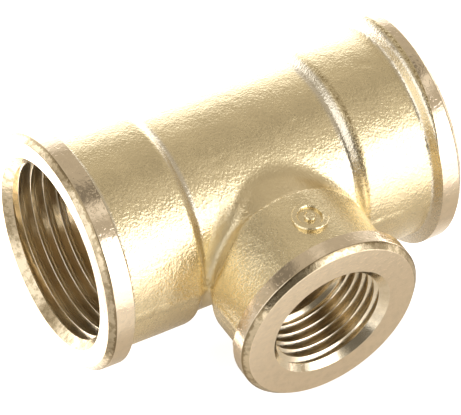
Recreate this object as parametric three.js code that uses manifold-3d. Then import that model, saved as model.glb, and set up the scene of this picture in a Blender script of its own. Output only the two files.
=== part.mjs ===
// Female-threaded reducing tee for pipe: a straight run with a G 1 socket at each end, and a
// G 1/2 socket on the branch. The real fitting is one hot forging in brass, machined from its
// three ends, so it is one body here too. Millimetres, +Z up.
//
// The shape is worked out about the point where the two axes cross: the run lies along X and the
// branch points along -Y. The finished body is then moved so that its box stands on z = 0.

import * as THREE from 'three';
import { mergeVertices } from 'three/addons/utils/BufferGeometryUtils.js';
import Module from 'manifold-3d';

const wasm = await Module();
wasm.setup();

// ---- Driving dimensions ----

const RUN = {
  reach: 33.5, // axis crossing to each end face
  beadRadius: 20.5, // turned collar at the end
  beadWidth: 4.6,
  bevel: 1.0, // outer edge of the end face
  socketRadius: 18.6, // forged body round the thread
  barrelRadius: 17.3, // forged body between the sockets
  stepStart: 14.5, // where the barrel begins to rise to the socket
  stepEnd: 16.1,
  mouthRadius: 16.75, // inner edge of the end face
  threadDepth: 15.0,
  chamberRadius: 14.4, // as-forged hollow between the two threads
  segments: 40,
};

const BRANCH = {
  reach: 33.5,
  beadRadius: 16.5,
  beadWidth: 3.5,
  bevel: 0.95,
  socketRadius: 14.5,
  socketStart: 17.2, // where the socket's back edge stands above the neck
  neckRadius: 13.45,
  mouthRadius: 10.9,
  threadDepth: 12.5,
  chamberRadius: 8.9,
  segments: 32,
};

const ARC_STEPS = 2; // facets across each rounded corner
const EDGE_ROUND = 0.7; // corners left by the forging die
const CROTCH_RADIUS = 1.0; // rolling-ball fillet between barrel and neck
const FILLET_FACETS = 3; // facets across that fillet
const FILLET_TUCK = 0.12; // how far the fillet's two edges dip under the surfaces they meet
const FILLET_ROOT = 0.8; // where the fillet's buried corner lies, as a share of its edges' middle
const CHAMFER_SLOPE = 1.0; // mouth chamfers are at 45 degrees

// ISO 228-1 parallel pipe threads. The 55 degree form has flats of a sixth of the pitch, which makes
// the thread 0.64 of the pitch deep.
const G1 = { pitch: 2.309, major: 33.249 / 2, minor: 30.291 / 2 };
const G_HALF = { pitch: 1.814, major: 20.955 / 2, minor: 18.631 / 2 };

const OVERSHOOT = 1.0; // how far a cutter runs past the face it cuts
const ROOT_CLEARANCE = 0.3; // how far the chamfer cutter reaches inside the thread's crests
const SAME_POINT = 1e-4; // corners closer than this are one corner

const BRASS = { color: 0xcdb483, roughness: 0.34, metalness: 1.0 };

// ---- Turning three.js geometry into solids and back ----

// A closed solid from any closed geometry: shared corners merged, collapsed triangles dropped.
function solid(geometry) {
  const bare = geometry.clone();
  bare.deleteAttribute('normal');
  bare.deleteAttribute('uv');
  const merged = mergeVertices(bare, SAME_POINT);
  const index = merged.index.array;
  const triangles = [];
  for (let i = 0; i < index.length; i += 3) {
    const [a, b, c] = [index[i], index[i + 1], index[i + 2]];
    if (a !== b && b !== c && c !== a) triangles.push(a, b, c);
  }
  return new wasm.Manifold(new wasm.Mesh({
    numProp: 3,
    vertProperties: new Float32Array(merged.attributes.position.array),
    triVerts: new Uint32Array(triangles),
  }));
}

function toGeometry(manifold) {
  const mesh = manifold.getMesh();
  const geometry = new THREE.BufferGeometry();
  geometry.setAttribute('position', new THREE.BufferAttribute(mesh.vertProperties, 3));
  geometry.setIndex(new THREE.BufferAttribute(mesh.triVerts, 1));
  geometry.computeVertexNormals();
  return geometry;
}

function union(pieces) {
  return pieces.reduce((whole, piece) => whole.add(piece));
}

// Turned work is made about +Y. These lay it along the run, or out along the branch.
const alongRun = (geometry, side = 1) => geometry.rotateZ(-side * Math.PI / 2);
const alongBranch = (geometry) => geometry.rotateZ(Math.PI);

function cylinder(radius, from, to, segments) {
  return new THREE.CylinderGeometry(radius, radius, to - from, segments).translate(0, (from + to) / 2, 0);
}

// ---- Outer forging ----

// A socket's outline from its forged wall to its end face: bead shoulder, turned collar, bevel.
// side is 1 or -1, the way the outline runs along the axis.
function beadOutline(end, side) {
  const shoulder = end.reach - end.beadWidth;
  const path = new THREE.Path();
  path.moveTo(end.socketRadius, shoulder - EDGE_ROUND);
  path.quadraticCurveTo(end.socketRadius, shoulder, end.socketRadius + EDGE_ROUND, shoulder);
  path.lineTo(end.beadRadius - EDGE_ROUND, shoulder);
  path.quadraticCurveTo(end.beadRadius, shoulder, end.beadRadius, shoulder + EDGE_ROUND);
  path.lineTo(end.beadRadius, end.reach - end.bevel);
  path.lineTo(end.beadRadius - end.bevel, end.reach);
  path.lineTo(0, end.reach);
  const points = path.getPoints(ARC_STEPS);
  points.forEach((point) => { point.y *= side; });
  return side > 0 ? points : points.reverse();
}

// The S-shaped rise from the barrel to a socket.
function stepOutline(side) {
  const middle = (RUN.stepStart + RUN.stepEnd) / 2;
  const points = new THREE.CubicBezierCurve(
    new THREE.Vector2(RUN.barrelRadius, RUN.stepStart * side),
    new THREE.Vector2(RUN.barrelRadius, middle * side),
    new THREE.Vector2(RUN.socketRadius, middle * side),
    new THREE.Vector2(RUN.socketRadius, RUN.stepEnd * side),
  ).getPoints(ARC_STEPS * 2);
  return side > 0 ? points : points.reverse();
}

function runForging() {
  const outline = [...beadOutline(RUN, -1), ...stepOutline(-1), ...stepOutline(1), ...beadOutline(RUN, 1)];
  return solid(alongRun(new THREE.LatheGeometry(outline, RUN.segments)));
}

function branchSocket() {
  const lip = EDGE_ROUND / 2;
  const outline = [
    new THREE.Vector2(0, BRANCH.socketStart),
    new THREE.Vector2(BRANCH.socketRadius - lip, BRANCH.socketStart),
    new THREE.Vector2(BRANCH.socketRadius, BRANCH.socketStart + lip),
    ...beadOutline(BRANCH, 1),
  ];
  return solid(alongBranch(new THREE.LatheGeometry(outline, BRANCH.segments)));
}

function branchNeck() {
  return solid(alongBranch(cylinder(BRANCH.neckRadius, 0, BRANCH.socketStart + OVERSHOOT, BRANCH.segments)));
}

// Points of the fillet's section at one angle round the branch: the arc that a ball rolling
// between the barrel and the neck leaves, and one point buried inside both of them.
function filletSection(angle, arcSteps) {
  const centreRing = BRANCH.neckRadius + CROTCH_RADIUS;
  const acrossRun = centreRing * Math.sin(angle);
  const centre = new THREE.Vector3(
    centreRing * Math.cos(angle),
    -Math.sqrt((RUN.barrelRadius + CROTCH_RADIUS) ** 2 - acrossRun ** 2),
    acrossRun,
  );
  const toNeck = new THREE.Vector3(-Math.cos(angle), 0, -Math.sin(angle));
  const toBarrel = new THREE.Vector3(0, -centre.y, -centre.z).normalize();
  const sweep = toNeck.angleTo(toBarrel);
  const points = [];
  for (let step = 0; step <= arcSteps; step += 1) {
    const part = step / arcSteps;
    const direction = toNeck.clone().multiplyScalar(Math.sin((1 - part) * sweep))
      .addScaledVector(toBarrel, Math.sin(part * sweep)).normalize();
    const isEnd = step === 0 || step === arcSteps;
    points.push(centre.clone().addScaledVector(direction, CROTCH_RADIUS + (isEnd ? FILLET_TUCK : 0)));
  }
  points.push(points[0].clone().add(points[arcSteps]).multiplyScalar(FILLET_ROOT / 2));
  return points;
}

// A ring lofted through sections that each hold the same number of points, closed on itself.
function loftRing(sections) {
  const count = sections[0].length;
  const positions = sections.flat().flatMap((point) => [point.x, point.y, point.z]);
  const index = [];
  sections.forEach((_, s) => {
    const here = s * count;
    const next = ((s + 1) % sections.length) * count;
    for (let p = 0; p < count; p += 1) {
      const q = (p + 1) % count;
      index.push(here + p, next + q, next + p, here + p, here + q, next + q);
    }
  });
  const geometry = new THREE.BufferGeometry();
  geometry.setAttribute('position', new THREE.Float32BufferAttribute(positions, 3));
  geometry.setIndex(index);
  return geometry;
}

function crotchFillet() {
  const sections = [];
  for (let s = 0; s < BRANCH.segments; s += 1) {
    sections.push(filletSection((s / BRANCH.segments) * 2 * Math.PI, FILLET_FACETS));
  }
  return solid(loftRing(sections));
}

// ---- Machined bores and threads ----

// The mouth chamfer, as a cone that runs a little way past the end face.
function chamferCutter(end, thread) {
  const narrow = thread.minor - ROOT_CLEARANCE;
  const depth = (end.mouthRadius - narrow) / CHAMFER_SLOPE;
  const wide = end.mouthRadius + OVERSHOOT * CHAMFER_SLOPE;
  return new THREE.CylinderGeometry(wide, narrow, depth + OVERSHOOT, end.segments)
    .translate(0, end.reach + (OVERSHOOT - depth) / 2, 0);
}

// A tap: the thread's crests and roots as rows that climb the helix, closed at both ends by a
// point on the axis. Each row joins the row one pitch further in where it comes full circle. The
// roots fade out over the last turn, as a tap's lead makes them do.
function tapCutter(end, thread) {
  const rows = [
    { part: 0, radius: thread.minor },
    { part: 1 / 6, radius: thread.minor },
    { part: 1 / 2, radius: thread.major },
    { part: 2 / 3, radius: thread.major },
  ];
  const start = end.reach + thread.pitch + OVERSHOOT;
  const turns = Math.round((start - end.reach + end.threadDepth) / thread.pitch);
  const lastRow = (turns - 1) * rows.length;
  const positions = [];
  const corner = new Map();

  function addCorner(column, row) {
    const { part, radius } = rows[row % rows.length];
    const inwards = Math.floor(row / rows.length) + part + column / end.segments;
    const fade = THREE.MathUtils.clamp(turns - inwards, 0, 1);
    const reach = thread.minor + (radius - thread.minor) * fade;
    const angle = (column / end.segments) * 2 * Math.PI;
    corner.set(`${column},${row}`, positions.length / 3);
    positions.push(reach * Math.sin(angle), start - inwards * thread.pitch, reach * Math.cos(angle));
  }

  for (let column = 0; column < end.segments; column += 1) {
    const extra = column === 0 ? rows.length : 0;
    for (let row = 0; row <= lastRow + extra; row += 1) addCorner(column, row);
  }
  const at = (column, row) => (column < end.segments
    ? corner.get(`${column},${row}`)
    : corner.get(`0,${row + rows.length}`));

  const index = [];
  for (let column = 0; column < end.segments; column += 1) {
    for (let row = 0; row < lastRow; row += 1) {
      const [a, b] = [at(column, row), at(column + 1, row)];
      const [c, d] = [at(column + 1, row + 1), at(column, row + 1)];
      index.push(a, c, b, a, d, c);
    }
  }
  const outerTip = positions.length / 3;
  positions.push(0, start + thread.pitch, 0);
  const innerTip = outerTip + 1;
  positions.push(0, start - (turns + 1) * thread.pitch, 0);
  const fan = (tip, row, reversed) => {
    const rim = [];
    for (let column = 0; column <= end.segments; column += 1) rim.push(at(column, row));
    for (let step = rows.length - 1; step > 0; step -= 1) rim.push(at(0, row + step));
    rim.forEach((from, i) => {
      const to = rim[(i + 1) % rim.length];
      index.push(...(reversed ? [tip, to, from] : [tip, from, to]));
    });
  };
  fan(outerTip, 0, false);
  fan(innerTip, lastRow, true);

  const geometry = new THREE.BufferGeometry();
  geometry.setAttribute('position', new THREE.Float32BufferAttribute(positions, 3));
  geometry.setIndex(index);
  return geometry;
}

// ---- The fitting ----

function teeBody() {
  const forging = union([runForging(), branchNeck(), branchSocket(), crotchFillet()]);
  const runHollow = cylinder(RUN.chamberRadius, -RUN.reach, RUN.reach, RUN.segments);
  const branchHollow = cylinder(BRANCH.chamberRadius, 0, BRANCH.reach, BRANCH.segments);
  const cutters = [solid(alongRun(runHollow)), solid(alongBranch(branchHollow))];
  for (const side of [-1, 1]) {
    cutters.push(solid(alongRun(chamferCutter(RUN, G1), side)));
    cutters.push(solid(alongRun(tapCutter(RUN, G1), side)));
  }
  cutters.push(solid(alongBranch(chamferCutter(BRANCH, G_HALF))));
  cutters.push(solid(alongBranch(tapCutter(BRANCH, G_HALF))));
  const body = cutters.reduce((rest, cutter) => rest.subtract(cutter), forging);
  const mesh = new THREE.Mesh(toGeometry(body), new THREE.MeshStandardMaterial(BRASS));
  mesh.name = 'tee_body';
  return mesh;
}

const tee = new THREE.Group();
tee.position.set(0, (BRANCH.reach - RUN.beadRadius) / 2, RUN.beadRadius);
tee.add(teeBody());

export default tee;
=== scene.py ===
"""A brass reducing tee for pipe: one hot forging, with its three ends turned, bored and threaded.

The forging's skin is a distance field, worked out in millimetres about the point where the two
axes cross, with the run along X and the branch along -Y. The turned ends, bores, chamfers and
threads are then cut into it, and the finished piece stands in for the CAD body.
"""

import math

import bpy
import numpy as np
from mathutils import Matrix, Vector


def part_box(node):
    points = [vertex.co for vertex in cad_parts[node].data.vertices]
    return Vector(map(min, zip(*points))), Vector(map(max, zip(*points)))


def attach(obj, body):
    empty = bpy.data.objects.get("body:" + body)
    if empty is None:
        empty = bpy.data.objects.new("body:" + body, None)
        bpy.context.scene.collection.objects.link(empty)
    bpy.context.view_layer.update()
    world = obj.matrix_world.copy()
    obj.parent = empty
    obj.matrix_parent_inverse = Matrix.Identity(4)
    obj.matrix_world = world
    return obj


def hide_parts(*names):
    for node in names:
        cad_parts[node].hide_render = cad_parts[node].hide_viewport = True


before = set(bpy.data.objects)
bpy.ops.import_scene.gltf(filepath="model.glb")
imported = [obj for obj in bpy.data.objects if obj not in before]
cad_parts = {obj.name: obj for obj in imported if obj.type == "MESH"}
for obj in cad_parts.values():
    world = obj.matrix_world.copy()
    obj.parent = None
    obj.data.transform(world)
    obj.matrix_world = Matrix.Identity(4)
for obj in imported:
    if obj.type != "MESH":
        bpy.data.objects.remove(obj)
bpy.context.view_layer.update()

MM = 0.001

# ---- The fitting's dimensions, in millimetres, as in the CAD body ----

low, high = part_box("tee_body")
RUN_BEAD = (high.z - low.z) / 2 / MM
RUN_END = (high.x - low.x) / 2 / MM
CROSSING = Vector(((low.x + high.x) / 2, high.y - RUN_BEAD * MM, (low.z + high.z) / 2))
BRANCH_END = (CROSSING.y - low.y) / MM

RUN_SOCKET = 18.6
RUN_BARREL = 17.3
STEP_START = {"left": 14.3, "right": 14.75}
STEP_LENGTH = 1.4
STEP_END = 16.5  # nicks further out than this lie on a socket
RUN_SHOULDER = 28.6
SHOULDER_DRAFT = 20.0
RUN_BEVEL = 1.0
RUN_MOUTH = 16.65
RUN_LEAD = 1.35
RUN_CHAMBER = 14.4
RUN_THREAD_DEPTH = 15.0

BRANCH_BEAD = 16.5
BRANCH_SOCKET = 14.6
BRANCH_NECK = 13.45
BRANCH_RIDGE = 17.2
BRANCH_SHOULDER = 30.0
BRANCH_BEVEL = 0.95
BRANCH_MOUTH = 10.9
BRANCH_LEAD = 0.8
BRANCH_CHAMBER = 8.9
BRANCH_THREAD_DEPTH = 12.5

CROTCH = 1.0
WAIST = 1.1  # how much slimmer the neck is on the left

# The threads of ISO 228-1. Their crests are where the tapping drill leaves them.
G1_DRILL = 30.75
G_HALF_DRILL = 19.0
G1 = {"pitch": 2.309, "major": 33.249 / 2, "minor": G1_DRILL / 2}
G_HALF = {"pitch": 1.814, "major": 20.955 / 2, "minor": G_HALF_DRILL / 2}

# ---- Seeded smooth noise in three dimensions ----

LATTICE = 24
lattice = np.random.default_rng(11).uniform(-1.0, 1.0, (LATTICE, LATTICE, LATTICE))


def noise(x, y, z, size):
    """Smooth noise from -1 to 1 whose lumps are about size mm across."""
    total = 0.0
    cells, fades = [], []
    for values in (x, y, z):
        scaled = np.asarray(values, float) / size + 100.0
        cell = np.floor(scaled).astype(int)
        part = scaled - cell
        cells.append(cell)
        fades.append(part * part * (3 - 2 * part))
    for corner in range(8):
        steps = [(corner >> bit) & 1 for bit in range(3)]
        weight = 1.0
        index = []
        for cell, fade, step in zip(cells, fades, steps):
            weight = weight * (fade if step else 1 - fade)
            index.append((cell + step) % LATTICE)
        total = total + weight * lattice[index[0], index[1], index[2]]
    return total


# ---- The forging's skin as a distance field ----


def smooth(start, end, values):
    part = np.clip((values - start) / (end - start), 0, 1)
    return part * part * (3 - 2 * part)


def round_union(a, b, radius):
    """Union of two solids whose inner corner is filled by a ball of that radius."""
    corner = np.hypot(np.maximum(radius - a, 0), np.maximum(radius - b, 0))
    return np.maximum(radius, np.minimum(a, b)) - corner


def round_cut(a, b, radius):
    """Intersection of two solids with its outer corner rounded off."""
    return -round_union(-a, -b, radius)


def forging(x, y, z):
    """Distance from the as-forged surface, in millimetres; less than 0 is inside."""
    along = np.abs(x)
    radius = np.hypot(y, z)
    tilt = math.atan2(RUN_SOCKET - RUN_BARREL, STEP_LENGTH)
    from_step = along - np.where(x > 0, STEP_START["right"], STEP_START["left"])
    cone = (radius - RUN_BARREL) * math.cos(tilt) - from_step * math.sin(tilt)
    socket = round_cut(cone, radius - RUN_SOCKET, np.where(x > 0, 0.5, 0.35))
    run = round_union(radius - RUN_BARREL, socket, 0.15)
    crown = RUN_BEAD + np.where(x > 0, 0.3, 0.8)
    draft = math.radians(SHOULDER_DRAFT)
    shoulder = (RUN_SHOULDER - along) * math.cos(draft) + (radius - RUN_SOCKET) * math.sin(draft)
    bead = round_cut(radius - crown, shoulder, np.where(x > 0, 0.5, 0.3))
    run = round_union(run, bead, 0.3)
    run = np.maximum(run, along - (RUN_END + 1.5))

    reach = -y
    round_branch = np.hypot(x, z)
    # The neck is slimmer on the left, and the hollow at its foot is wider at the sides.
    waist = WAIST * smooth(0.1, 0.9, -x / np.maximum(round_branch, 1.0))
    neck_radius = BRANCH_NECK - waist
    neck = np.maximum(round_branch - neck_radius, np.maximum(y, reach - BRANCH_SHOULDER))
    crotch = CROTCH + 0.4 * waist + 0.8 * np.clip(x / BRANCH_NECK, 0.0, 1.0)
    body = round_union(run, neck, crotch)
    socket_radius = BRANCH_SOCKET + 0.2 * smooth(28.0, 20.0, reach)
    # The socket's back edge is square to the branch on top and slopes away at the sides.
    aside = smooth(0.45, 0.92, np.abs(x) / np.maximum(round_branch, 1.0))
    lean = math.radians(50.0) * aside
    back = (BRANCH_RIDGE - reach) * np.cos(lean) + (round_branch - neck_radius) * np.sin(lean)
    socket = round_cut(round_branch - socket_radius, back, 0.5)
    branch_bead = round_cut(round_branch - (BRANCH_BEAD + 0.8), BRANCH_SHOULDER - reach, 0.4)
    socket = round_union(socket, branch_bead, 0.6)
    socket = np.maximum(socket, reach - (BRANCH_END + 1.5))
    body = round_union(body, socket, 0.9 + 1.4 * aside)

    # The trimmed flash where the two dies met.
    ribbon = smooth(0.95, 0.55, np.abs(z - 0.15 * noise(x, y, 0 * z, 9.0)))
    proud = 0.13 + 0.10 * noise(x, y, 0 * z, 5.0) + 0.08 * noise(x, y, 0 * z, 1.3)
    body = body - proud * ribbon

    body = body + 0.05 * noise(x, y, z, 7.0) + 0.022 * noise(x, y, z, 2.6)
    for dent_x, angle, size, depth in DENTS:
        turn = math.radians(angle)
        at = (dent_x, -RUN_BARREL * math.cos(turn), RUN_BARREL * math.sin(turn))
        if abs(dent_x) > STEP_END:
            at = (dent_x, at[1] * RUN_SOCKET / RUN_BARREL, at[2] * RUN_SOCKET / RUN_BARREL)
        away = (x - at[0]) ** 2 + (y - at[1]) ** 2 + (z - at[2]) ** 2
        body = body + depth * np.exp(-away / (size * size))
    return body


# Nicks from the barrel that the forgings were tumbled in: x, angle up from the branch side,
# size and depth. The angle is about the run.
DENTS = [
    (-6.9, 74, 0.45, 0.12),
    (-7.1, 67, 0.5, 0.12),
    (-5.7, 68, 0.4, 0.1),
    (8.5, 72, 0.55, 0.16),
    (25.0, 86, 0.55, 0.14),
    (24.2, 88, 0.4, 0.1),
    (-24.4, 0, 0.6, 0.18),
    (-22.8, 74, 0.45, 0.12),
    (-18.4, 76, 0.5, 0.12),
    (2.0, 120, 0.6, 0.14),
    (-21.0, 140, 0.6, 0.14),
    (19.5, 150, 0.5, 0.14),
    (4.0, -70, 0.6, 0.16),
    (-9.0, -40, 0.5, 0.12),
    (12.0, 160, 0.6, 0.12),
    (-3.0, 200, 0.6, 0.14),
]


SKIN_STEP = 0.4


def surface_net(field, start, step):
    """Vertices and quads of the field's zero level, from samples on an even grid."""
    inside = field < 0
    shape = field.shape
    sums = np.zeros((field.size, 3))
    counts = np.zeros(field.size)
    strides = np.array([shape[1] * shape[2], shape[2], 1])
    quads = []
    for axis in range(3):
        near = [slice(None)] * 3
        far = [slice(None)] * 3
        near[axis], far[axis] = slice(0, -1), slice(1, None)
        near, far = tuple(near), tuple(far)
        crossing = np.argwhere(inside[near] != inside[far])
        f0 = field[near][tuple(crossing.T)]
        f1 = field[far][tuple(crossing.T)]
        point = crossing.astype(float)
        point[:, axis] += f0 / (f0 - f1)
        cell = crossing @ strides
        b, c = [other for other in range(3) if other != axis]
        ring = [cell, cell - strides[b], cell - strides[b] - strides[c], cell - strides[c]]
        for owner in ring:
            for k in range(3):
                sums[:, k] += np.bincount(owner, point[:, k], minlength=field.size)
            counts += np.bincount(owner, minlength=field.size)
        turned = (f0 < 0) == (axis != 1)
        ring = np.stack(ring, 1)
        quads.append(np.where(turned[:, None], ring, ring[:, ::-1]))
    used = np.flatnonzero(counts)
    number = np.full(field.size, -1)
    number[used] = np.arange(len(used))
    vertices = sums[used] / counts[used, None] * step + start
    return vertices, number[np.concatenate(quads)]


def forged_skin(step):
    """The forging's skin as a closed mesh, with its vertices moved onto the exact surface."""
    start = np.array([-RUN_END - 2.2, -BRANCH_END - 2.2, -RUN_BEAD - 1.4])
    end = np.array([RUN_END + 2.2, RUN_BEAD + 1.4, RUN_BEAD + 1.4])
    axes = [np.arange(start[k], end[k] + step, step) for k in range(3)]
    grid = np.meshgrid(*axes, indexing="ij", sparse=True)
    x, y, z = np.broadcast_arrays(*grid)
    field = np.empty(x.shape)
    for i in range(0, x.shape[0], 16):
        field[i : i + 16] = forging(x[i : i + 16], y[i : i + 16], z[i : i + 16])
    for axis in range(3):
        # A light blur keeps every edge of the net between just two faces.
        field += 0.25 * (np.roll(field, 1, axis) - 2 * field + np.roll(field, -1, axis))
    vertices, quads = surface_net(field, start, step)
    reach = 0.02
    for _ in range(3):
        value = forging(*vertices.T)
        gradient = np.empty_like(vertices)
        for k in range(3):
            offset = np.zeros(3)
            offset[k] = reach
            ahead = forging(*(vertices + offset).T)
            behind = forging(*(vertices - offset).T)
            gradient[:, k] = (ahead - behind) / (2 * reach)
        size = np.maximum((gradient**2).sum(1), 0.25)
        move = -gradient * (value / size)[:, None]
        vertices = vertices + np.clip(move, -step / 2, step / 2)
    return vertices, quads


# ---- Meshes and cutters ----


def make_object(name, vertices, faces):
    """A Blender object from millimetre points about the crossing of the axes."""
    mesh = bpy.data.meshes.new(name)
    points = np.asarray(vertices, float) * MM + np.array(CROSSING)
    mesh.from_pydata(points.tolist(), [], np.asarray(faces, dtype=object).tolist())
    mesh.validate()
    made = bpy.data.objects.new(name, mesh)
    bpy.context.scene.collection.objects.link(made)
    return made


def run_place(side):
    """Takes turned work from its own axis, out along +Z, to one end of the run."""
    return lambda p: np.stack([side * p[:, 2], side * p[:, 0], p[:, 1]], 1)


def branch_place(p):
    return np.stack([p[:, 0], -p[:, 2], p[:, 1]], 1)


def turned(profile, segments, place):
    """A closed solid of revolution.

    The profile's (distance along, radius) points start and end on the axis.
    """
    middle = profile[1:-1]
    angles = np.arange(segments) * 2 * math.pi / segments
    points = [(0, 0, profile[0][0])]
    for along, radius in middle:
        for angle in angles:
            points.append((radius * math.cos(angle), radius * math.sin(angle), along))
    points.append((0, 0, profile[-1][0]))
    last = len(points) - 1
    faces = []
    for s in range(segments):
        n = (s + 1) % segments
        faces.append((0, 1 + n, 1 + s))
        for r in range(len(middle) - 1):
            a, b = 1 + r * segments, 1 + (r + 1) * segments
            faces.append((a + s, a + n, b + n, b + s))
        a = 1 + (len(middle) - 1) * segments
        faces.append((a + s, a + n, last))
    return place(np.array(points)), faces


def arc_points(corner, before, after, radius, steps):
    """A polyline's corner as a small arc of that setback."""
    a = np.array(corner) + radius * unit(np.array(before) - corner)
    b = np.array(corner) + radius * unit(np.array(after) - corner)
    made = []
    for i in range(steps + 1):
        t = i / steps
        made.append(tuple((1 - t) ** 2 * a + 2 * t * (1 - t) * np.array(corner) + t * t * b))
    return made


def unit(vector):
    return vector / np.linalg.norm(vector)


def turning_tool(end, bead, bevel, start, lean, segments, place):
    """What the lathe takes off outside an end: collar, bevel and end face.

    The collar starts at start on the axis, and lean further out for each millimetre up from it.
    """
    outside = bead + 3.0
    beyond = end + 4.0
    face_edge = (end, bead - bevel)
    collar_edge = (end - bevel, bead)
    profile = [(end, 0.0)]
    profile += arc_points(face_edge, (end, 0.0), collar_edge, 0.12, 2)
    profile += arc_points(collar_edge, face_edge, (start, bead), 0.12, 2)
    profile += [(start + 0.25, bead), (start + 0.1, bead - 0.1), (start, bead)]
    profile += [(start - 0.15, bead + 0.25), (start - 0.15, outside)]
    profile += [(beyond, outside), (beyond, 0.0)]
    points, faces = turned(profile, segments, lambda p: p)
    at_start = np.abs(points[:, 2] - start) < 0.3
    points[at_start, 2] += lean * points[at_start, 1]
    return place(points), faces


def mouth_tool(end, mouth, narrow, segments, place):
    """The 45 degree chamfer inside an end."""
    depth = mouth - narrow
    profile = [(end - depth, 0.0), (end - depth, narrow)]
    profile += [(end + 1.0, mouth + 1.0), (end + 1.0, 0.0)]
    return turned(profile, segments, place)


def bore_tool(start, end, radius, segments, place):
    profile = [(start, 0.0), (start, radius), (end, radius), (end, 0.0)]
    return turned(profile, segments, place)


# One pitch of the thread: how far along it, and how deep as a share of the full depth. The crest
# is flat, as the tapping drill leaves it, and the root is rounded.
THREAD_FORM = [
    (0.00, 0.00),
    (0.22, 0.00),
    (0.25, 0.06),
    (0.52, 0.90),
    (0.57, 1.00),
    (0.65, 1.00),
    (0.70, 0.90),
    (0.97, 0.06),
]


def tap(end, thread, depth, segments, place):
    """A tap that leaves the thread when it is cut away: rows of points that climb the helix."""
    pitch = thread["pitch"]
    start = end + pitch + 1.0
    turns = round((start - end + depth) / pitch)
    rows = len(THREAD_FORM)
    last_row = (turns - 1) * rows
    points, corner = [], {}
    for column in range(segments):
        extra = rows if column == 0 else 0
        angle = column * 2 * math.pi / segments
        for row in range(last_row + extra + 1):
            part, share = THREAD_FORM[row % rows]
            inwards = row // rows + part + column / segments
            fade = min(max(turns - inwards, 0), 1)
            radius = thread["minor"] + (thread["major"] - thread["minor"]) * share * fade
            corner[column, row] = len(points)
            along = start - inwards * pitch
            points.append((radius * math.cos(angle), radius * math.sin(angle), along))

    def at(column, row):
        if column < segments:
            return corner[column, row]
        return corner[0, row + rows]

    faces = []
    for column in range(segments):
        for row in range(last_row):
            faces.append(
                (
                    at(column, row),
                    at(column, row + 1),
                    at(column + 1, row + 1),
                    at(column + 1, row),
                )
            )
    ends = ((start + pitch, 0, False), (start - (turns + 1) * pitch, last_row, True))
    for tip_z, row, reverse in ends:
        tip = len(points)
        points.append((0, 0, tip_z))
        rim = [at(column, row) for column in range(segments + 1)]
        rim += [at(0, row + step) for step in range(rows - 1, 0, -1)]
        for i, here in enumerate(rim):
            there = rim[(i + 1) % len(rim)]
            faces.append((tip, there, here) if reverse else (tip, here, there))
    return place(np.array(points)), faces


def raised_mark(reach, outer, inner, top, place):
    """A low round boss on the branch, or a ring where inner is more than 0, with eased edges."""
    sides, edge = 40, 0.18
    base = BRANCH_SOCKET - 1.0
    rings = [(outer, base), (outer, top - edge), (outer - edge, top)]
    if inner:
        rings += [(inner + edge, top), (inner, top - edge), (inner, base)]
    points = []
    for size, radius in rings:
        for i in range(sides):
            turn = 2 * math.pi * i / sides
            angle = math.radians(MARK_ANGLE) + size * math.cos(turn) / BRANCH_SOCKET
            out = reach + size * math.sin(turn)
            points.append((radius * math.cos(angle), radius * math.sin(angle), out))
    faces = []
    for r in range(len(rings) if inner else len(rings) - 1):
        a, b = r * sides, ((r + 1) % len(rings)) * sides
        for i in range(sides):
            n = (i + 1) % sides
            faces.append((a + i, a + n, b + n, b + i))
    if not inner:
        angle = math.radians(MARK_ANGLE)
        for r, radius, ahead in ((0, base, 0), (len(rings) - 1, top, 1)):
            tip = len(points)
            points.append((radius * math.cos(angle), radius * math.sin(angle), reach))
            for i in range(sides):
                a, b = r * sides + i, r * sides + (i + 1) % sides
                faces.append((tip, a, b) if ahead else (tip, b, a))
    return place(np.array(points)), faces


def outward(vertices, faces):
    """The same faces, turned over if the solid came out inside out."""
    volume = 0.0
    for face in faces:
        a = vertices[face[0]]
        for i in range(1, len(face) - 1):
            volume += np.dot(a, np.cross(vertices[face[i]], vertices[face[i + 1]]))
    if volume < 0:
        return [tuple(reversed(face)) for face in faces]
    return faces


def solid(vertices, faces):
    """A cutter as an object of its own."""
    return make_object("tool", vertices, outward(np.asarray(vertices), faces))


def cut(target, tool, operation):
    """Adds, takes away or keeps only the tool's solid, and makes the result target's mesh."""
    modifier = target.modifiers.new("cut", "BOOLEAN")
    modifier.operation = operation
    modifier.solver = "MANIFOLD"
    modifier.object = tool
    graph = bpy.context.evaluated_depsgraph_get()
    made = bpy.data.meshes.new_from_object(target.evaluated_get(graph))
    target.modifiers.clear()
    old = target.data
    target.data = made
    bpy.data.meshes.remove(old)
    tool_mesh = tool.data
    bpy.data.objects.remove(tool)
    bpy.data.meshes.remove(tool_mesh)


skin_vertices, skin_quads = forged_skin(SKIN_STEP)
tee = make_object("tee_forging", skin_vertices, skin_quads)

# A plain ring and pip, forged in relief on top of the branch.
MARK_ANGLE = 88.0
MARK_REACH = 23.3
mark_top = BRANCH_SOCKET + 0.7
cut(tee, solid(*raised_mark(MARK_REACH, 3.0, 2.0, mark_top, branch_place)), "UNION")
cut(tee, solid(*raised_mark(MARK_REACH, 0.95, 0.0, mark_top, branch_place)), "UNION")

# Where each turned collar starts, and how much it leans out over the forging.
LEFT_COLLAR = (28.0, 0.0)
RIGHT_COLLAR = (27.5, 0.15)
BRANCH_COLLAR = (29.2, 0.0)

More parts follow.
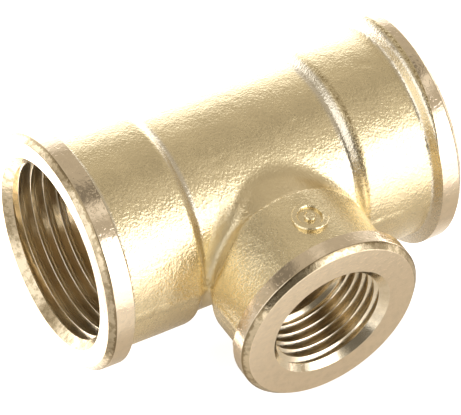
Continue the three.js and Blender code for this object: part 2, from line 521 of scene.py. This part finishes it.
RUN_SIDES = 144
BRANCH_SIDES = 120
for side in (-1, 1):
    place = run_place(side)
    start, lean = RIGHT_COLLAR if side > 0 else LEFT_COLLAR
    tool = solid(*turning_tool(RUN_END, RUN_BEAD, RUN_BEVEL, start, lean, RUN_SIDES, place))
    cut(tee, tool, "DIFFERENCE")
place = branch_place
start, lean = BRANCH_COLLAR
tool = solid(
    *turning_tool(BRANCH_END, BRANCH_BEAD, BRANCH_BEVEL, start, lean, BRANCH_SIDES, place)
)
cut(tee, tool, "DIFFERENCE")
cut(tee, solid(*bore_tool(-RUN_END, RUN_END, RUN_CHAMBER, 96, run_place(1))), "DIFFERENCE")
cut(tee, solid(*bore_tool(0.0, BRANCH_END, BRANCH_CHAMBER, 72, branch_place)), "DIFFERENCE")


def thread_end(end, mouth, lead, thread, depth, mouth_sides, tap_sides, place):
    """Chamfers a mouth and cuts the thread behind it, clear of the chamfer's outer part."""
    chamfer = solid(*mouth_tool(end, mouth, thread["minor"] - 0.3, mouth_sides, place))
    cut(tee, chamfer, "DIFFERENCE")
    tool = solid(*tap(end, thread, depth, tap_sides, place))
    room = solid(*bore_tool(0.0, end - lead, thread["major"] + 2.0, 48, place))
    cut(tool, room, "INTERSECT")
    cut(tee, tool, "DIFFERENCE")


for side in (-1, 1):
    thread_end(RUN_END, RUN_MOUTH, RUN_LEAD, G1, RUN_THREAD_DEPTH, 96, 72, run_place(side))
thread_end(
    BRANCH_END, BRANCH_MOUTH, BRANCH_LEAD, G_HALF, BRANCH_THREAD_DEPTH, 80, 64, branch_place
)


# ---- Materials ----


class Nodes:
    """A material's node tree, with short calls for the nodes used here."""

    def __init__(self, name):
        self.material = bpy.data.materials.new(name)
        self.material.use_nodes = True
        self.tree = self.material.node_tree
        self.shader = self.tree.nodes["Principled BSDF"]
        coordinates = self.tree.nodes.new("ShaderNodeTexCoord")
        self.place = coordinates.outputs["Object"]

    def add(self, kind, inputs, **settings):
        node = self.tree.nodes.new(kind)
        for key, value in settings.items():
            setattr(node, key, value)
        for key, value in inputs.items():
            socket = node.inputs[key]
            if isinstance(value, bpy.types.NodeSocket):
                self.tree.links.new(value, socket)
            else:
                socket.default_value = value
        return node

    def math(self, operation, *values):
        return self.add("ShaderNodeMath", dict(enumerate(values)), operation=operation).outputs[0]

    def noise(self, size, detail=2.0, roughness=0.5, vector=None):
        """Noise with lumps about size mm across."""
        inputs = {
            "Vector": vector or self.place,
            "Scale": 1 / (size * MM),
            "Detail": detail,
            "Roughness": roughness,
        }
        return self.add("ShaderNodeTexNoise", inputs).outputs[0]

    def ramp(self, value, start, end, low_value, high_value):
        """Value's start..end taken smoothly to low_value..high_value."""
        inputs = {0: value, 1: start, 2: end, 3: low_value, 4: high_value}
        return self.add("ShaderNodeMapRange", inputs, interpolation_type="SMOOTHSTEP").outputs[0]

    def share(self, name):
        """One of the values that mark_tarnish_and_painted_light stores on the mesh."""
        return self.add("ShaderNodeAttribute", {}, attribute_name=name).outputs["Fac"]

    def mix(self, factor, first, second):
        node = self.add("ShaderNodeMix", {0: factor}, data_type="RGBA")
        for slot, value in ((6, first), (7, second)):
            if isinstance(value, bpy.types.NodeSocket):
                self.tree.links.new(value, node.inputs[slot])
            else:
                node.inputs[slot].default_value = (*value, 1)
        return node.outputs[2]

    def bump(self, height, depth, strength=1.0, normal=None):
        inputs = {"Height": height, "Distance": depth * MM, "Strength": strength}
        if normal is not None:
            inputs["Normal"] = normal
        return self.add("ShaderNodeBump", inputs).outputs[0]

    def link(self, output, name):
        self.tree.links.new(output, self.shader.inputs[name])


BRASS = (0.93, 0.79, 0.505)
TURNED_BRASS = (0.93, 0.79, 0.60)


def shade(colour, amount):
    return tuple(channel * amount for channel in colour)


def forged_brass():
    """Tumbled skin of the forging: frosted, duller where the tumbling couldn't reach, with painted
    light and shade.
    """
    n = Nodes("forged_brass")
    patches = n.noise(6.0, 3.0, 0.55)
    fine = n.noise(0.42, 2.0, 0.6)
    colour = n.mix(n.ramp(patches, 0.35, 0.65, 0, 1), shade(BRASS, 0.96), shade(BRASS, 1.03))
    colour = n.mix(n.ramp(fine, 0.30, 0.50, 0.5, 0.0), colour, shade(BRASS, 0.80))
    # In the arch round the branch's foot, a darker olive brass: partly tarnish, partly painted
    # shade.
    crotch = n.share("crotch")
    tarnish_and_painted_shade = n.math("MULTIPLY", crotch, n.ramp(n.noise(1.1, 4.0, 0.65), 0.3, 0.7, 0.6, 1.0))
    colour = n.mix(tarnish_and_painted_shade, colour, (0.84, 0.70, 0.44))
    # Painted shade: a duller, greyer brass in the corners below the steps and beads.
    crease = n.share("crease")
    colour = n.mix(crease, colour, (0.83, 0.75, 0.60))
    # Painted dark reflection: dark specks along the right step's crest and on the right bead, with
    # pits in the bump.
    crest = n.share("crest")
    crest_pits_and_painted_dark = n.math("MULTIPLY", crest, n.ramp(n.noise(0.55, 3.0, 0.6), 0.42, 0.56, 0.25, 1.0))
    colour = n.mix(crest_pits_and_painted_dark, colour, (0.44, 0.34, 0.18))
    # Painted light: a lighter brass on the arch's lower left leg, which is also rougher and more
    # wrinkled.
    leg = n.share("leg")
    colour = n.mix(leg, colour, (0.94, 0.82, 0.56))
    n.link(colour, "Base Color")
    cloudy = n.ramp(patches, 0.3, 0.7, 0.21, 0.28)
    rough = n.math("ADD", cloudy, n.ramp(fine, 0.3, 0.7, 0.05, -0.03))
    rough = n.math("MULTIPLY_ADD", leg, 0.20, rough)
    n.link(n.math("MULTIPLY_ADD", tarnish_and_painted_shade, 0.10, rough), "Roughness")
    normal = n.bump(n.noise(1.7, 2.0, 0.5), 0.09)
    wrinkles = n.math("MULTIPLY", fine, n.math("MULTIPLY_ADD", leg, 0.8, 1.0))
    normal = n.bump(wrinkles, 0.105, 1.0, normal)
    normal = n.bump(crest_pits_and_painted_dark, 0.05, 1.0, normal)
    n.link(normal, "Normal")
    n.shader.inputs["Metallic"].default_value = 1.0
    n.link(n.math("MULTIPLY_ADD", crest_pits_and_painted_dark, -0.5, 0.5), "Coat Weight")
    n.shader.inputs["Coat Roughness"].default_value = 0.25
    return n.material


def turned_brass():
    """Lathe-turned faces: bright, with fine tool marks and a few dings from handling."""
    n = Nodes("turned_brass")
    marks = n.noise(1.5, 4.0, 0.62)
    dings = n.ramp(n.noise(0.6, 1.0, 0.5), 0.56, 0.68, 0.0, 1.0)
    colour = n.mix(n.ramp(marks, 0.4, 0.7, 0, 1), TURNED_BRASS, shade(TURNED_BRASS, 0.93))
    n.link(colour, "Base Color")
    n.link(n.ramp(marks, 0.3, 0.7, 0.08, 0.16), "Roughness")
    normal = n.bump(marks, 0.04)
    normal = n.bump(dings, 0.012, 1.0, normal)
    n.link(normal, "Normal")
    n.shader.inputs["Metallic"].default_value = 1.0
    return n.material


def bevel_brass():
    """The narrow bevels and the run's mouth chamfers, knocked, in a darker brass that is a painted
    dark reflection, darker still at the rim.
    """
    n = Nodes("bevel_brass")
    knocks = n.noise(1.3, 4.0, 0.62)
    # The bevels' darker brass is a painted dark reflection, mottled by knocks of random darker
    # tone.
    colour = n.mix(n.ramp(knocks, 0.46, 0.62, 0, 1), (0.70, 0.58, 0.40), (0.46, 0.37, 0.23))
    # Darker still towards the rim: a painted dark reflection along the bevel's outer edge.
    rim = n.share("rim")
    painted_dark_rim = n.math("MULTIPLY_ADD", n.noise(0.7, 3.0, 0.6), 0.6, n.math("MULTIPLY", rim, 0.55))
    colour = n.mix(n.ramp(painted_dark_rim, 0.62, 0.76, 0, 1), colour, (0.34, 0.26, 0.15))
    n.link(colour, "Base Color")
    n.link(n.ramp(knocks, 0.3, 0.7, 0.16, 0.28), "Roughness")
    n.link(n.bump(knocks, 0.05), "Normal")
    n.shader.inputs["Metallic"].default_value = 1.0
    return n.material


def thread_brass():
    """Cut threads, and the branch's mouth chamfer: bright and a little streaky."""
    n = Nodes("thread_brass")
    marks = n.noise(1.5, 3.0, 0.6)
    colour = n.mix(n.ramp(marks, 0.35, 0.7, 0, 1), (0.96, 0.86, 0.68), (0.88, 0.77, 0.58))
    n.link(colour, "Base Color")
    n.link(n.ramp(marks, 0.3, 0.7, 0.15, 0.25), "Roughness")
    n.link(n.bump(n.noise(0.5, 2.0, 0.5), 0.008), "Normal")
    n.shader.inputs["Metallic"].default_value = 1.0
    return n.material


def cavity_brass():
    """The bored chamber in the middle, dull and brown."""
    n = Nodes("cavity_brass")
    marks = n.noise(1.2, 3.0, 0.6)
    colour = n.mix(n.ramp(marks, 0.35, 0.7, 0, 1), (0.62, 0.51, 0.35), (0.46, 0.37, 0.24))
    n.link(colour, "Base Color")
    n.link(n.ramp(marks, 0.3, 0.7, 0.3, 0.5), "Roughness")
    n.link(n.bump(n.noise(0.7, 2.0, 0.5), 0.05), "Normal")
    n.shader.inputs["Metallic"].default_value = 1.0
    return n.material


FORGED, TURNED, BEVEL, THREAD, CAVITY = range(5)
tee.data.materials.clear()
for finish in (forged_brass, turned_brass, bevel_brass, thread_brass, cavity_brass):
    tee.data.materials.append(finish())


# How near a surface a face's centre lies to count as on it, and where, out from the crossing,
# each finish can begin or end.
NEAR = 0.01
THREAD_FADE = 2.0
COLLAR_FROM = {"run": 28.0, "branch": 29.5}
RUN_BORE_TO = 17.0
BRANCH_BORE_FROM = 12.0
BRANCH_SKIN_FROM = 14.5


def classify(mesh):
    """Which of the five finishes each face has."""
    count = len(mesh.polygons)
    centre = np.empty(count * 3)
    mesh.polygons.foreach_get("center", centre)
    centre = (centre.reshape(-1, 3) - np.array(CROSSING)) / MM
    normal = np.empty(count * 3)
    mesh.polygons.foreach_get("normal", normal)
    normal = normal.reshape(-1, 3)
    x, y, z = centre.T
    along, reach = np.abs(x), -y
    run_radius, branch_radius = np.hypot(y, z), np.hypot(x, z)
    kind = np.full(count, FORGED)
    at_end = along > RUN_END - RUN_BEVEL - NEAR
    collar = (along > COLLAR_FROM["run"]) & (np.abs(run_radius - RUN_BEAD) < 3 * NEAR)
    kind[at_end | collar] = TURNED
    branch_end = reach > BRANCH_END - BRANCH_BEVEL - NEAR
    collar = (reach > COLLAR_FROM["branch"]) & (np.abs(branch_radius - BRANCH_BEAD) < 3 * NEAR)
    kind[branch_end | collar] = TURNED
    slant = np.abs(normal[:, 0])
    bevel = (kind == TURNED) & at_end & (slant > 0.3) & (slant < 0.95)
    kind[bevel & (run_radius > RUN_MOUTH)] = BEVEL
    slant = np.abs(normal[:, 1])
    bevel = (kind == TURNED) & branch_end & (slant > 0.3) & (slant < 0.95)
    kind[bevel & (branch_radius > BRANCH_MOUTH)] = BEVEL

    # From the middle outwards: the chamber, then the threads, then the mouths' chamfers.
    run_depth, branch_depth = RUN_END - along, BRANCH_END - reach
    in_run = run_radius < G1["major"] + 2 * NEAR
    in_branch = (branch_radius < G_HALF["major"] + 2 * NEAR) & (reach > BRANCH_BORE_FROM)
    in_bore = (in_run & (along < RUN_END - NEAR) & (reach < RUN_BORE_TO)) | (
        in_branch & (reach < BRANCH_END - NEAR)
    )
    in_bore &= ~((branch_radius > G_HALF["major"] + 5 * NEAR) & (reach > BRANCH_SKIN_FROM))
    kind[in_bore] = CAVITY
    threaded = in_run & (run_depth > NEAR) & (run_depth < RUN_THREAD_DEPTH + THREAD_FADE)
    kind[threaded & (run_radius > RUN_CHAMBER + 5 * NEAR)] = THREAD
    threaded = in_branch & (branch_depth > NEAR)
    threaded &= branch_depth < BRANCH_THREAD_DEPTH + THREAD_FADE
    kind[threaded & (branch_radius > BRANCH_CHAMBER + 5 * NEAR)] = THREAD
    on_cone = np.abs(run_radius + run_depth - RUN_MOUTH) < 2 * NEAR
    kind[in_run & (run_depth > 0.001) & on_cone] = BEVEL
    on_cone = np.abs(branch_radius + branch_depth - BRANCH_MOUTH) < 2 * NEAR
    kind[in_branch & (branch_depth > 0.001) & on_cone] = THREAD
    mesh.polygons.foreach_set("material_index", kind.astype(np.int32))


def band(start, end, soft, values):
    """1 from start to end, fading to 0 over soft on each side of both."""
    return smooth(start - soft, start + soft, values) * smooth(end + soft, end - soft, values)


def mark_tarnish_and_painted_light(mesh):
    """Stores on each vertex how far it lies in five places with painted light and shade, the arch
    also tarnished.

    crotch is the arch round the foot of the branch, darker partly from tarnish and partly as
    painted shade, and leg its lower left part, painted lighter as painted light. crease is the
    corner below a step or a bead, painted duller as painted shade, and crest the rough line beyond
    it on the right, painted dark as a painted dark reflection. rim is the outer edge of a bevel,
    painted darker as a painted dark reflection.
    """
    points = np.empty(len(mesh.vertices) * 3)
    mesh.vertices.foreach_get("co", points)
    x, y, z = ((points.reshape(-1, 3) - np.array(CROSSING)) / MM).T
    along, reach, right = np.abs(x), -y, x > 0
    radius, round_branch = np.hypot(y, z), np.hypot(x, z)
    turn = np.degrees(np.arctan2(z, -y))
    past_step = along - np.where(right, STEP_START["right"], STEP_START["left"])

    # crotch: the arch round the branch's foot, darker partly from tarnish and partly as painted
    # shade.
    crotch = smooth(14.4, 13.9, round_branch) * smooth(17.5, 17.1, reach) * smooth(2.0, 6.0, reach)
    # leg: the arch's lower left part, painted lighter as painted light.
    leg = smooth(-6.0, -11.0, x) * band(12.8, 15.0, 0.5, round_branch)
    leg = leg * smooth(7.0, 11.0, reach) * smooth(19.0, 17.6, reach)
    # crease: the corners below a step and a bead, painted duller as painted shade.
    crease = band(-0.6, 1.2, 0.3, past_step) + band(28.2, 29.7, 0.2, along)
    crease = crease * np.where(y > 0, 1.0, smooth(15.2, 17.5, round_branch))
    # crest: a line beyond the right step and one on the right bead, painted dark as a painted dark
    # reflection.
    crest = right * band(1.5, 2.2, 0.2, past_step) * band(38.0, 96.0, 8.0, turn)
    crest += right * band(29.9, 30.6, 0.2, along) * band(50.0, 112.0, 8.0, turn)
    # rim: the outer edge of a bevel, painted darker as a painted dark reflection.
    on_bevel = along > RUN_END - RUN_BEVEL - 5 * NEAR
    rim = on_bevel * np.clip((radius - RUN_BEAD) / RUN_BEVEL + 1, 0, 1)
    on_bevel = reach > BRANCH_END - BRANCH_BEVEL - 5 * NEAR
    rim += on_bevel * np.clip((round_branch - BRANCH_BEAD) / BRANCH_BEVEL + 1, 0, 1)

    marks = {"crotch": crotch, "crease": crease, "crest": crest, "leg": leg, "rim": rim}
    for name, share in marks.items():
        layer = mesh.attributes.new(name, "FLOAT", "POINT")
        layer.data.foreach_set("value", share.astype(np.float32))


classify(tee.data)
mark_tarnish_and_painted_light(tee.data)
tee.data.polygons.foreach_set("use_smooth", np.ones(len(tee.data.polygons), bool))
tee.data.set_sharp_from_angle(angle=math.radians(32))
weighted = tee.modifiers.new("flat faces stay flat", "WEIGHTED_NORMAL")
weighted.keep_sharp = True
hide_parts("tee_body")
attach(tee, "root")


# ---- Floor, light and camera ----

# Soft light in the studio: azimuth from +Y toward +X, elevation, half width, half height and
# softness of the edges in degrees, and how much brighter or darker it is than the room.
ROOM = 0.52
ROOM_DARKEST = 0.12
ROOM_TINT = (1.0, 0.895, 0.73)
CARDS = [
    (5, -15, 48, 33, 36, 1.7),
    (152, 5, 21, 36, 12, 2.4),
    (-95, 15, 26, 36, 10, 1.05),
    (-152, 8, 24, 50, 14, -0.38),
    (-42, 40, 16, 12, 12, -0.28),
    (80, 72, 34, 6, 4, -0.30),
    (120, 62, 18, 5, 5, 0.40),
    (14, 57, 14, 4, 8, 0.25),
]


# How the floor's painted glow brightens away from the fitting, leaving it dim near the fitting as
# a
# painted shadow: a direction in plan, the distances in metres along it where the glow starts and
# is full, and its strength.
# Beyond this line, to the far left, the floor is painted darker as painted shade, and the left and
# back glows stop.
FLOOR_SHADE_EDGE = (1.0, 0.35, -0.0450, -0.0430, 1.0)
GLOW_BESIDE = (0.0, 1.0, -0.020, -0.004, 1.0)
GLOW_LEFT = (-1.0, 0.0, 0.027, 0.036, 1.5)
GLOW_RIGHT = (1.0, 0.0, 0.022, 0.040, 0.6)
GLOW_BEHIND = (-0.1, 1.0, 0.012, 0.05, 1.4)
GLOWS = [
    (0.0, 1.0, -0.010, 0.0, 0.25),
    (0.42, -0.9, 0.005, 0.03, 0.10),
    (0.42, -0.9, 0.05, 0.12, 0.85),
    (-0.4, -0.9, 0.03, 0.05, 0.24),
    (-1.0, 0.0, 0.008, 0.018, 0.08),
]
GLOW_UNDER = 0.10
GLOW_SHOWN = 0.74


def new_floor():
    """A pale floor with painted light: a glow that brightens away from the fitting, and a painted
    darker patch to the far left.
    """
    size = 3.0
    mesh = bpy.data.meshes.new("floor")
    corners = [(-size, -size, 0), (size, -size, 0), (size, size, 0), (-size, size, 0)]
    mesh.from_pydata(corners, [], [(0, 1, 2, 3)])
    floor = bpy.data.objects.new("floor", mesh)
    bpy.context.scene.collection.objects.link(floor)
    n = Nodes("pale_floor")
    n.shader.inputs["Roughness"].default_value = 0.9
    n.shader.inputs["Specular IOR Level"].default_value = 0.1
    shown = n.add("ShaderNodeLightPath", {}).outputs["Is Camera Ray"]
    split = n.add("ShaderNodeSeparateXYZ", {0: n.place})
    across, out = split.outputs[0], split.outputs[1]

    def slope(along_x, along_y, start, end, value):
        sideways, outwards = n.math("MULTIPLY", across, along_x), n.math("MULTIPLY", out, along_y)
        return n.ramp(n.math("ADD", sideways, outwards), start, end, 0.0, value)

    near = slope(*FLOOR_SHADE_EDGE)
    # Painted shade: the floor's colour darker to the far left, seen in the fitting's reflections.
    colour = n.mix(near, shade(ROOM_TINT, 0.40), shade(ROOM_TINT, 0.60))
    n.link(n.mix(shown, colour, (0.52, 0.52, 0.52)), "Base Color")
    aside = n.math("ADD", n.math("MULTIPLY", near, slope(*GLOW_LEFT)), slope(*GLOW_RIGHT))
    glow = n.math("MULTIPLY_ADD", aside, slope(*GLOW_BESIDE), GLOW_UNDER)
    glow = n.math("ADD", glow, n.math("MULTIPLY", near, slope(*GLOW_BEHIND)))
    for place in GLOWS:
        glow = n.math("ADD", glow, slope(*place))
    glow = n.math("ADD", glow, n.math("MULTIPLY", shown, GLOW_SHOWN))
    n.link(glow, "Emission Strength")
    n.shader.inputs["Emission Color"].default_value = (1, 1, 1, 1)
    mesh.materials.append(n.material)


new_floor()


def new_world():
    """The studio as a sky: a room of even light with the cards in it."""
    world = bpy.data.worlds.new("studio")
    world.use_nodes = True
    bpy.context.scene.world = world
    tree = world.node_tree
    background = tree.nodes["Background"]

    def add(kind, inputs, **settings):
        node = tree.nodes.new(kind)
        for key, value in settings.items():
            setattr(node, key, value)
        for key, value in inputs.items():
            if isinstance(value, bpy.types.NodeSocket):
                tree.links.new(value, node.inputs[key])
            else:
                node.inputs[key].default_value = value
        return node

    def calc(operation, *values):
        return add("ShaderNodeMath", dict(enumerate(values)), operation=operation).outputs[0]

    def fade(value, half, soft):
        start, end = half - soft / 2, half + soft / 2
        inputs = {0: calc("ABSOLUTE", value), 1: start, 2: end, 3: 1.0, 4: 0.0}
        return add("ShaderNodeMapRange", inputs, interpolation_type="SMOOTHSTEP").outputs[0]

    coordinates = add("ShaderNodeTexCoord", {})
    split = add("ShaderNodeSeparateXYZ", {0: coordinates.outputs["Generated"]})
    x, y, z = split.outputs
    height = calc("DEGREES", calc("ARCSINE", z))
    light = ROOM
    for azimuth, elevation, wide, tall, soft, value in CARDS:
        s, c = math.sin(math.radians(azimuth)), math.cos(math.radians(azimuth))
        side = calc("SUBTRACT", calc("MULTIPLY", x, c), calc("MULTIPLY", y, s))
        ahead = calc("ADD", calc("MULTIPLY", x, s), calc("MULTIPLY", y, c))
        turn = calc("DEGREES", calc("ARCTAN2", side, ahead))
        above = calc("SUBTRACT", height, elevation)
        card = calc("MULTIPLY", fade(turn, wide, soft), fade(above, tall, soft))
        light = calc("MULTIPLY_ADD", card, value, light)
    light = calc("MAXIMUM", light, ROOM_DARKEST)
    shown = add("ShaderNodeLightPath", {}).outputs["Is Camera Ray"]
    tint = add("ShaderNodeMix", {0: calc("SUBTRACT", light, ROOM)}, data_type="RGBA")
    tint.inputs[6].default_value = (*ROOM_TINT, 1)
    tint.inputs[7].default_value = (1, 1, 1, 1)
    tree.links.new(tint.outputs[2], background.inputs["Color"])
    light = calc("MULTIPLY_ADD", shown, 2.0, light)
    tree.links.new(light, background.inputs["Strength"])


new_world()


# Azimuth, elevation and roll in degrees, focal length, and where the camera stands from the
# crossing of the axes: to its right, up and back, in millimetres.
CAMERA_TURN = (-34.683, 47.001, 5.744)
CAMERA_LENS = 293.4
CAMERA_OFFSET = (0.536, -3.512, 623.261)


def new_camera():
    """A long lens from the front left, looking down, and rolled a little."""
    azimuth, elevation, roll = map(math.radians, CAMERA_TURN)
    back = Vector(
        (
            math.sin(azimuth) * math.cos(elevation),
            -math.cos(azimuth) * math.cos(elevation),
            math.sin(elevation),
        )
    )
    level = Vector((math.cos(azimuth), math.sin(azimuth), 0))
    upright = back.cross(level)
    right = level * math.cos(roll) + upright * math.sin(roll)
    up = upright * math.cos(roll) - level * math.sin(roll)
    data = bpy.data.cameras.new("camera")
    data.lens = CAMERA_LENS
    data.sensor_width = 36.0
    camera = bpy.data.objects.new("camera", data)
    bpy.context.scene.collection.objects.link(camera)
    across, above, away = CAMERA_OFFSET
    eye = CROSSING + (right * across + up * above + back * away) * MM
    turn = Matrix((right, up, back)).transposed().to_4x4()
    camera.matrix_world = Matrix.Translation(eye) @ turn
    bpy.context.scene.camera = camera


new_camera()

view_settings = bpy.context.scene.view_settings
view_settings.view_transform = "Standard"
